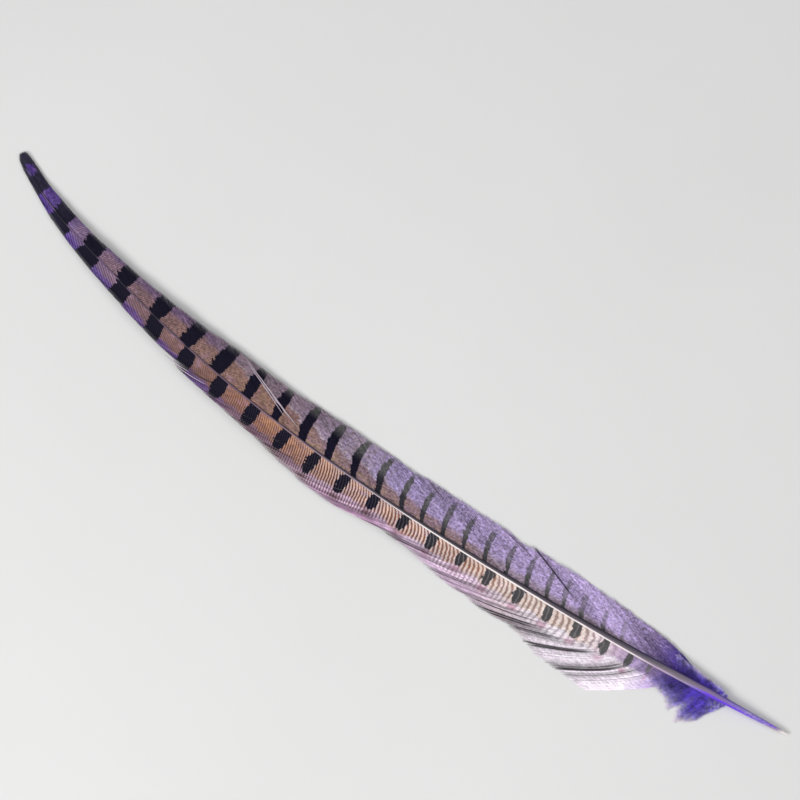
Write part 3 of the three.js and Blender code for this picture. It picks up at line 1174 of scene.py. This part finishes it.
LEFT_WEB = Web(
    name="left_web",
    side=1,
    first=64.0,
    seed=10,
    back=3.0,
    reach=(
        (66, 42), (80, 36), (90, 35.5), (100, 41), (125, 58), (160, 50), (300, 42), (341, 32),
        (400, 28), (440, 24), (470, 16), (489, 8.6), (494, 5.2), (496, 3.6), (498.6, 1.3),
    ),
    bend=(
        (66, 1.3), (80, 1.5), (90, 1.75), (103, 1.7), (125, 2.3), (200, 2.6), (360, 2.4),
        (500, 1.8),
    ),
    rim=(
        (110, 30.5), (124, 29.2), (138, 27.5), (142, 25.5), (150, 23), (158, 21.5), (172, 21.8),
        (190, 20), (200, 19), (212, 16.7), (230, 15.2), (240, 13.8), (256, 17.4), (270, 18.4),
        (285, 18), (300, 16), (320, 13.6), (345, 12.4), (368, 11.8), (373, 10), (400, 9),
        (425, 8.2), (450, 7.4), (465, 6.7), (480, 5), (492, 3.7), (496, 2.9), (497.6, 2.5),
        (499.2, 1.6), (499.7, 1), (500, 0.2),
    ),
    inner=(
        (60, 6), (100, 9), (160, 9.8), (250, 9.3), (285, 12), (320, 8.5), (370, 7), (400, 5.5),
        (440, 4.5), (484, 4.2), (488, 2.3), (500, 2),
    ),
    partings=(
        (88.5, 1.3, 0.6), (101.8, 1.7, 0.7), (110.5, 1.2, 0.62), (117, 0.8, 0.6),
        (121.5, 0.5, 0.48), (126, 0.8, 0.5), (136, 0.5, 0.34), (158, 0.7, 0.26), (206, 0.4, 0.12),
        (232, 0.4, 0.35), (341, 1, 0.45),
    ),
    rib_pitch=(
        (80, 4.2), (110, 4), (130, 3.6), (140, 3.3), (150, 2.95), (170, 2.65), (190, 2.5),
        (200, 2.28), (220, 2.05), (240, 1.85), (250, 1.64), (270, 1.52), (290, 1.36), (310, 1.24),
        (345, 1.24), (375, 2.2), (400, 2.8), (500, 2.9),
    ),
    belly=((300, 0.2), (380, 0.5), (440, 0.4), (475, 0)),
    dusk_from=((95, 0.3), (104, 0.35), (107, 0.55), (180, 0.58), (300, 0.4)),
    gloom=((104, 0), (110, 0.24), (119, 0.24), (126, 0.12), (142, 0.08), (156, 0)),
    teeth=((100, 1.3), (250, 1.2), (300, 1), (380, 1.3), (500, 1.6)),
    rib_slant=((100, 0), (170, 0.06), (250, 0.05), (270, 0.2), (335, 0.25), (375, 2), (500, 2.2)),
    rib_lean=((100, 1.4), (150, 1.35), (185, 1.6), (235, 1.4), (260, 1), (275, 0.6), (345, 0.4)),
    rib_curl=((100, 0.012), (165, 0.012), (200, 0)),
    rib_fade=0.28,
    rib_height=(
        (84, 0), (97, 0.08), (106, 0.45), (120, 0.66), (180, 0.68), (200, 0.76), (252, 1),
        (270, 1.15), (290, 0.85), (310, 0.72), (340, 0.5), (360, 0.36), (440, 0.42), (480, 0.12),
        (492, 0),
    ),
    rib_end=(
        (100, 9.5), (112, 11.5), (125, 14.5), (135, 15.5), (150, 14), (165, 13.5), (185, 14.5),
        (200, 14), (208, 11), (215, 9.8), (235, 9.8), (245, 13), (262, 15), (275, 16.5),
        (295, 16.5), (315, 12),
    ),
    steps=33,
    fray=((60, 0.02), (110, 0.025), (200, 0.025), (330, 0.025), (400, 0.01), (500, 0)),
    bars=LEFT_BARS,
    finish=LEFT_FINISH,
)

RIGHT_BARS = Bars(
    middles=(
        (98, 0.75), (109.2, 0.8), (122.2, 0.95), (133, 0.85), (142.8, 0.85), (154.7, 0.95),
        (166.8, 0.95), (179.8, 1.05), (192.8, 1.05), (205.2, 1.15), (218.2, 1.1), (230.4, 1.15),
        (244.5, 1.5), (260, 1.75), (276.2, 2.1), (293, 2.3), (310.2, 2.35), (328.6, 2.6),
        (349.6, 3.4), (370.2, 3.5), (391.8, 3.9), (415.6, 4.4), (438.6, 5.5), (461.4, 5.4),
        (482, 5.2), (498.5, 4.4),
    ),
    lean=(
        (100, 3.4), (180, 3.5), (218, 3.2), (245, 4.7), (262, 4.2), (290, 2.4), (312, 1.9),
        (332, 1), (350, -0.6), (400, -0.4), (460, 0.8),
    ),
    lean_full_at=13.0,
    bulge=0.6,
    end=((98, 13), (150, 17.5), (200, 20), (262, 20.5), (330, 18), (352, 19), (362, 40)),
    dark=(
        (90, 0.3), (110, 0.45), (150, 0.6), (205, 0.7), (250, 0.85), (290, 1), (484, 1),
        (490, 0.85),
    ),
    fade_from=(
        (100, -2), (150, 1), (205, 2.5), (231, 4), (262, 8), (276, 10), (295, 10.5), (330, 11.5),
        (350, 12.5), (370, 13), (385, 40),
    ),
    fade_over=7.5,
    faded=0.45,
    squareness=8.0,
    spot=(490, -0.4),
)

RIGHT_FINISH = WebFinish(
    name="right_web",
    inner=(
        (0.135, Tint.INDIGO), (0.15, Tint.HEATHER), (0.175, Tint.LAVENDER), (0.2, Tint.DOVE),
        (0.35, Tint.DOVE), (0.385, Tint.ROSEWOOD), (0.46, Tint.MAUVE), (0.56, Tint.MAUVE),
        (0.62, Tint.TAN), (0.72, Tint.TAN), (0.81, Tint.TAUPE), (0.85, Tint.MULBERRY),
        (0.9, Tint.HYACINTH), (0.935, Tint.VIOLET),
    ),
    outer=(
        (0.14, Tint.INDIGO), (0.17, Tint.HEATHER), (0.21, Tint.WISTERIA), (0.4, Tint.WISTERIA),
        (0.48, Tint.LAVENDER), (0.53, Tint.DOVE), (0.59, Tint.THISTLE), (0.68, Tint.THISTLE),
        (0.74, Tint.PLUM), (0.8, Tint.PLUM), (0.92, Tint.VIOLET), (0.966, Tint.VIOLET),
        (0.976, Tint.ASH),
    ),
    faded_bar=Tint.OLIVE,
    border=1.9,
    mottle=0.95,
    mottle_until=(240, 350),
    mottle_late=Tint.ROSEWOOD,
    mottle_least=0.6,
    ripple=0.4,
    rim_haze=0.45,
    seam=0.45,
    net=0.42,
    warmth=0.5,
    warm_tint=Tint.OCHRE,
    streaks=0.3,
    fleck=(0.75, 0.85),
    mottle_light=Tint.IRISED,
    mottle_dark=Tint.PEWTER,
)

RIGHT_WEB = Web(
    name="right_web",
    side=-1,
    first=44.0,
    seed=40,
    reach=(
        (38, 22), (60, 34), (90, 44), (130, 46), (300, 36), (350, 30), (400, 26), (440, 22),
        (470, 15), (489, 8.6), (494, 5.2), (496, 3.6), (498.6, 1.3),
    ),
    bend=((38, 1.2), (300, 1.4), (500, 1.5)),
    rim=(
        (60, 9.5), (75, 13), (95, 16), (115, 18.2), (135, 19.6), (160, 20.2), (200, 21), (230, 21),
        (270, 20.5), (290, 19.5), (310, 18), (325, 17), (345, 16.4), (360, 14.8), (380, 12.5),
        (400, 10.4), (420, 8.2), (432, 6.9), (442, 5.5), (450, 4.9), (465, 3.8), (478, 2.9),
        (492, 3.2), (496, 3), (497.6, 2.7), (499.2, 1.9), (499.7, 1.2), (500, 0.3),
    ),
    inner=(
        (60, 2), (150, 4.3), (200, 5.6), (250, 6.9), (290, 7.9), (310, 9.3), (340, 10), (380, 7.5),
        (410, 5.5), (484, 4.5), (488, 2.6), (500, 2.2),
    ),
    partings=((116.5, 1.2, 0.6), (128, 0.5, 0.35)),
    belly=((320, 0), (345, 0.5), (400, 0.8), (440, 0.4), (475, 0)),
    scallop=((195, 0), (215, 1.5), (240, 3), (255, 4.8), (325, 4.8), (345, 2.5), (365, 0)),
    teeth=((100, 0.8), (300, 1), (380, 1.4), (500, 1.7)),
    rib_pitch=((0, 1.9),),
    rib_slant=((0, 1),),
    rib_curl=((0, -0.08),),
    rib_height=((310, 0), (345, 0.4), (440, 0.5), (480, 0.15), (492, 0)),
    rib_end=((0, 20),),
    lines=0.12,
    fray=((40, 0.06), (150, 0.03), (300, 0.015), (400, 0.01), (500, 0)),
    bars=RIGHT_BARS,
    finish=RIGHT_FINISH,
)


# ---- The down ---------------------------------------------


@dataclass(frozen=True)
class Fluff:
    """The down on one side: where its barbs end, along and out, by the station of their roots."""

    side: int
    first: float
    last: float
    ends: Rows
    outs: Rows
    spacing: float = 0.2


@dataclass(frozen=True)
class Down:
    """The down above the quill: soft barbs, each with fine barbules both ways.

    ridge is how high a strand's section rises, as a share of its width.
    """

    sides: tuple[Fluff, ...] = (
        Fluff(
            side=1,
            first=36.0,
            last=70.0,
            ends=(
                (36, 38.8), (37.5, 41.1), (39.5, 44.8), (41.5, 46.7), (44, 50.1), (47, 53.3),
                (48.8, 55.3), (49.6, 55.2), (51, 57), (53, 59.5), (54.6, 61.4), (55.6, 62.4),
                (58, 65.1), (64, 70.7), (70, 76.5),
            ),
            outs=(
                (36, 3.2), (37.5, 8.2), (39.5, 12.6), (41.5, 17), (44, 18.8), (47, 19.6),
                (48.8, 21.9), (49.6, 17.6), (51, 15.8), (53, 14.4), (54.6, 18.4), (55.6, 15.8),
                (58, 13.2), (64, 10.8), (70, 10.4),
            ),
        ),
        Fluff(
            side=-1,
            first=37.0,
            last=64.0,
            ends=((37, 38.5), (42, 44), (46, 50), (50, 55), (56, 61), (66, 73)),
            outs=((37, 2.4), (40, 4.2), (46, 5.6), (50, 6.2), (54, 7), (60, 7.8), (66, 9.5)),
        ),
    )
    steps: int = 12
    width: float = 0.2
    ridge: float = 0.7
    barbules: int = 24
    barbule_length: float = 1.9
    barbule_width: float = 0.16
    lowest: float = 0.08
    seed: int = 90

    def paths(self, fluff: Fluff, rng: np.random.Generator) -> tuple[Array, ...]:
        """Works out one side's barbs: from the root to the outline, waving and settling down.

        station = root + (end - root) t^1.3 and out = length t^0.95, both with a slight wave.

        Args:
            fluff: the side.
            rng: where its unevenness comes from.

        Returns:
            Sides, shares, stations, distances out and heights, each by barb and step.
        """
        root = np.arange(fluff.first, fluff.last, fluff.spacing)[:, None]
        root = root + rng.normal(0, 0.2, root.shape)
        t = np.linspace(0.0, 1.0, self.steps)[None]
        end = read(fluff.ends, root) + rng.normal(0, 0.3, root.shape)
        length = read(fluff.outs, root) * (1.02 - 0.25 * rng.uniform(0, 1, root.shape) ** 4)
        wave = rng.uniform(0, 6.3, root.shape) + t * rng.uniform(3, 7, root.shape)
        station = root + (end - root) * t**1.3 + 0.3 * t * np.sin(wave)
        out = length * t**0.95 + 0.2 * t * np.cos(wave * 1.3)
        lift = rng.uniform(-0.3, 1.1, root.shape) * np.sin(math.pi * np.clip(t * 0.85, 0, 1))
        height = np.maximum(LIE.height(station, out) + lift + 0.2 * t * np.sin(wave * 1.7), 0.15)
        return tuple(np.broadcast_arrays(fluff.side, t, station, out, height))

    def build(self) -> Object:
        """Lays the barbs of both sides, and the barbules on them.

        Returns:
            The piece.
        """
        rng = np.random.default_rng(self.seed)
        parts = [self.paths(fluff, rng) for fluff in self.sides]
        side, share, station, out, height = (np.concatenate(rows) for rows in zip(*parts))
        centre = LINE.place(station, side * out, height)
        shade = rng.uniform(0.2, 0.8, (len(centre), 1))
        marks = together(station, share, shade)
        stems = Strands.level(centre, self.width * (1.0 - 0.6 * share), self.ridge, marks)
        fine = self.fine(centre, marks, rng)
        mesh = joined("down", [stems.mesh("barbs", (0.0, 0.2)), fine.mesh("barbules", (0.2, 1.0))])
        return add_piece(mesh, DownFinish().material(), smooth=False)

    def fine(self, centre: Array, marks: Array, rng: np.random.Generator) -> Strands:
        """Sets barbules along each barb, to its left and right by turns, that curl forward.

        A barbule is foot + length (0.7 t sideways + bend t^1.5 ahead + rise t up), t from 0 to 1.

        Args:
            centre: the barbs' paths.
            marks: their place marks.
            rng: where the unevenness comes from.

        Returns:
            The barbules.
        """
        count = len(centre)
        spots = np.linspace(0.1, 1.0, self.barbules)
        spot = np.clip(spots + rng.normal(0, 0.01, (count, self.barbules)), 0.05, 0.999)
        index = spot * (self.steps - 1)
        low = np.minimum(index.astype(int), self.steps - 2)
        rest = (index - low)[..., None]
        row = np.arange(count)[:, None]
        before, after = centre[row, low], centre[row, low + 1]
        foot = before * (1 - rest) + after * rest
        ahead = after - before
        ahead /= np.linalg.norm(ahead, axis=-1)[..., None]
        flip = np.where(np.arange(self.barbules) % 2 == 0, 1.0, -1.0)[:, None]
        sideways = np.stack([-ahead[..., 1], ahead[..., 0], np.zeros_like(spot)], -1) * flip
        length = self.barbule_length * (1.1 - 0.5 * spot) * rng.uniform(0.6, 1.2, spot.shape)

        t = np.linspace(0.0, 1.0, 4)
        share = t[:, None]
        rise = rng.normal(0.1, 0.28, (*spot.shape, 1, 1)) * UP
        bend = rng.uniform(0.5, 1.2, (*spot.shape, 1, 1))
        reach = share * (0.7 * sideways[:, :, None] + rise) + share**1.5 * bend * ahead[:, :, None]
        hair = (foot[:, :, None] + length[..., None, None] * reach).reshape(-1, 4, 3)
        hair[..., 2] = np.maximum(hair[..., 2], self.lowest)
        marks = together(marks[row, low, 0], spot, marks[row, low, 2]).reshape(-1, 1, 3)
        marks = marks + 0.1 * share * np.array([0, 1, 0])
        width = np.tile(self.barbule_width * (1.0 - 0.5 * t), (len(hair), 1))
        return Strands.level(hair, width, self.ridge, marks)


def joined(name: str, meshes: list[Mesh]) -> Mesh:
    """Joins meshes that carry the same marks and maps into one.

    Args:
        name: the joined mesh's name.
        meshes: what to join, which is used up.

    Returns:
        The joined mesh.
    """
    objects = [show(bpy.data.objects.new(name, mesh)) for mesh in meshes]
    with bpy.context.temp_override(active_object=objects[0], selected_editable_objects=objects):
        bpy.ops.object.join()
    mesh = objects[0].data
    mesh.name = name
    bpy.data.objects.remove(objects[0])
    return mesh


# ---- Stray barbs ------------------------------------------


@dataclass(frozen=True)
class StrayBarbs:
    """Barbs that have sprung out of the webs, lie across them with a slight bow and rise over them.

    Each is (side, from station, from out, to station, to out, shade), shade 1 pale and 0 dark.
    """

    lines: tuple[tuple[float, ...], ...] = (
        (-1, 300, 4.4, 343, 15.4, 1), (-1, 307, 4.3, 339, 13.9, 1), (-1, 305, 5.2, 333, 12.9, 0.9),
        (-1, 298, 3.9, 318, 8.4, 0.62), (1, 358.5, 9, 374, 11, 1), (1, 347, 6.4, 362, 9.4, 0),
        (1, 349, 8.6, 367, 11.2, 0.7), (-1, 212, 15.2, 228, 20.2, 0.1),
        (-1, 160, 15, 182, 19.8, 0.1),
    )
    width: float = 0.42
    bow: float = 0.35
    over: float = 0.5
    steps: int = 24

    def build(self) -> Object:
        """Lays each line over the web with a slight bow, bow sin(pi t), and thin at both ends.

        Returns:
            The piece.
        """
        side, s0, n0, s1, n1, shade = np.asarray(self.lines, float).T[..., None]
        t = np.linspace(0.0, 1.0, self.steps)
        station = s0 + (s1 - s0) * t
        out = n0 + (n1 - n0) * t + self.bow * np.sin(math.pi * t)
        lift = self.over * np.sin(math.pi * np.clip(t, 0.06, 0.94)) ** 0.5
        centre = LINE.place(station, side * out, LIE.height(station, out) + lift)
        width = self.width * np.sin(math.pi * np.clip(t, 0.04, 0.96)) ** 0.4 + 0 * station
        marks = together(station, out, shade)
        strands = Strands.level(centre, width, 0.45, marks)
        return add_piece(strands.mesh("stray_barbs"), StrayFinish().material(), smooth=False)


# ---- The studio -------------------------------------------


@dataclass(frozen=True)
class Lamp:
    """A square soft light: where it hangs and its side, in metres, and its power in watts."""

    name: str
    place: tuple[float, float, float]
    size: float
    power: float

    def hang(self) -> None:
        """Hangs the light so that it faces the feather's middle."""
        data = bpy.data.lights.new(self.name, "AREA")
        data.size = self.size
        data.energy = self.power
        lamp = show(bpy.data.objects.new(self.name, data))
        lamp.location = self.place
        lamp.rotation_euler = (-Vector(self.place)).to_track_quat("-Z", "Y").to_euler()


@dataclass(frozen=True)
class Studio:
    """A pale floor, soft lights, and a camera that looks straight down on the feather.

    floor is half the floor's side and drop how far it lies below the ground. The camera sees
    view_width across at its distance over middle, and its own upper side points towards up.
    """

    floor: float = 3000.0
    drop: float = 0.15
    lamps: tuple[Lamp, ...] = (
        Lamp("key", (0.25, 1.35, 1.25), 0.9, 23.0),
        Lamp("fill", (-0.6, -0.9, 1.6), 1.4, 7.5),
        Lamp("top", (0.2, 0.1, 2.2), 1.2, 7.0),
    )
    air: tuple[float, ...] = (0.95, 0.97, 1.0, 1.0)
    air_strength: float = 0.32
    view_width: float = 410.6
    distance: float = 2600.0
    middle: Pair = (15.8, -39.0)
    up: Pair = (0.6047, -0.7964)
    sensor: float = 36.0

    def lay_floor(self) -> None:
        """Lays a wide plain floor, whose finish is a pale paper with a faint mottle."""
        corners = self.floor * np.array([[-1, -1, 0], [1, -1, 0], [1, 1, 0], [-1, 1, 0]])
        mesh = write_mesh("floor", corners - self.drop * UP, [np.array([[0, 1, 2, 3]])])
        n = Nodes("pale_paper")
        cloud = n.noise(6, 3)
        colour = n.mix(cloud, (0.74, 0.735, 0.725, 1.0), (0.79, 0.785, 0.775, 1.0))
        mesh.materials.append(n.finish(colour, 0.85, cloud, 0.02, specular_ior_level=0.2))
        floor = show(bpy.data.objects.new("floor", mesh))

    def set_camera(self) -> None:
        """Sets the camera over the feather, turned so that the quill lies to the lower right."""
        data = bpy.data.cameras.new("camera")
        data.sensor_width = self.sensor
        data.lens = self.sensor * self.distance / self.view_width
        data.clip_end = 20.0
        camera = show(bpy.data.objects.new("camera", data))
        up, back = Vector((*self.up, 0.0)).normalized(), Vector(UP)
        turned = Matrix((up.cross(back), up, back)).transposed().to_4x4()
        place = Vector((*self.middle, self.distance)) * MM
        camera.matrix_world = Matrix.Translation(place) @ turned
        bpy.context.scene.camera = camera

    def build(self) -> None:
        """Sets up the floor, the lights, the air's own light and the camera."""
        self.lay_floor()
        for lamp in self.lamps:
            lamp.hang()
        world = bpy.data.worlds.new("air")
        world.use_nodes = True
        air = world.node_tree.nodes["Background"]
        air.inputs[0].default_value, air.inputs[1].default_value = self.air, self.air_strength
        bpy.context.scene.world = world
        bpy.context.scene.view_settings.view_transform = "Standard"
        self.set_camera()


def main() -> None:
    """Builds the feather piece by piece, then the studio."""
    logging.basicConfig(level=logging.INFO, format="%(name)s: %(message)s")
    for part in (Shaft(), LEFT_WEB, RIGHT_WEB, Down(), StrayBarbs()):
        piece = part.build()
        log.info("built %s", piece.name)
    Studio().build()


if __name__ == "__main__":
    main()
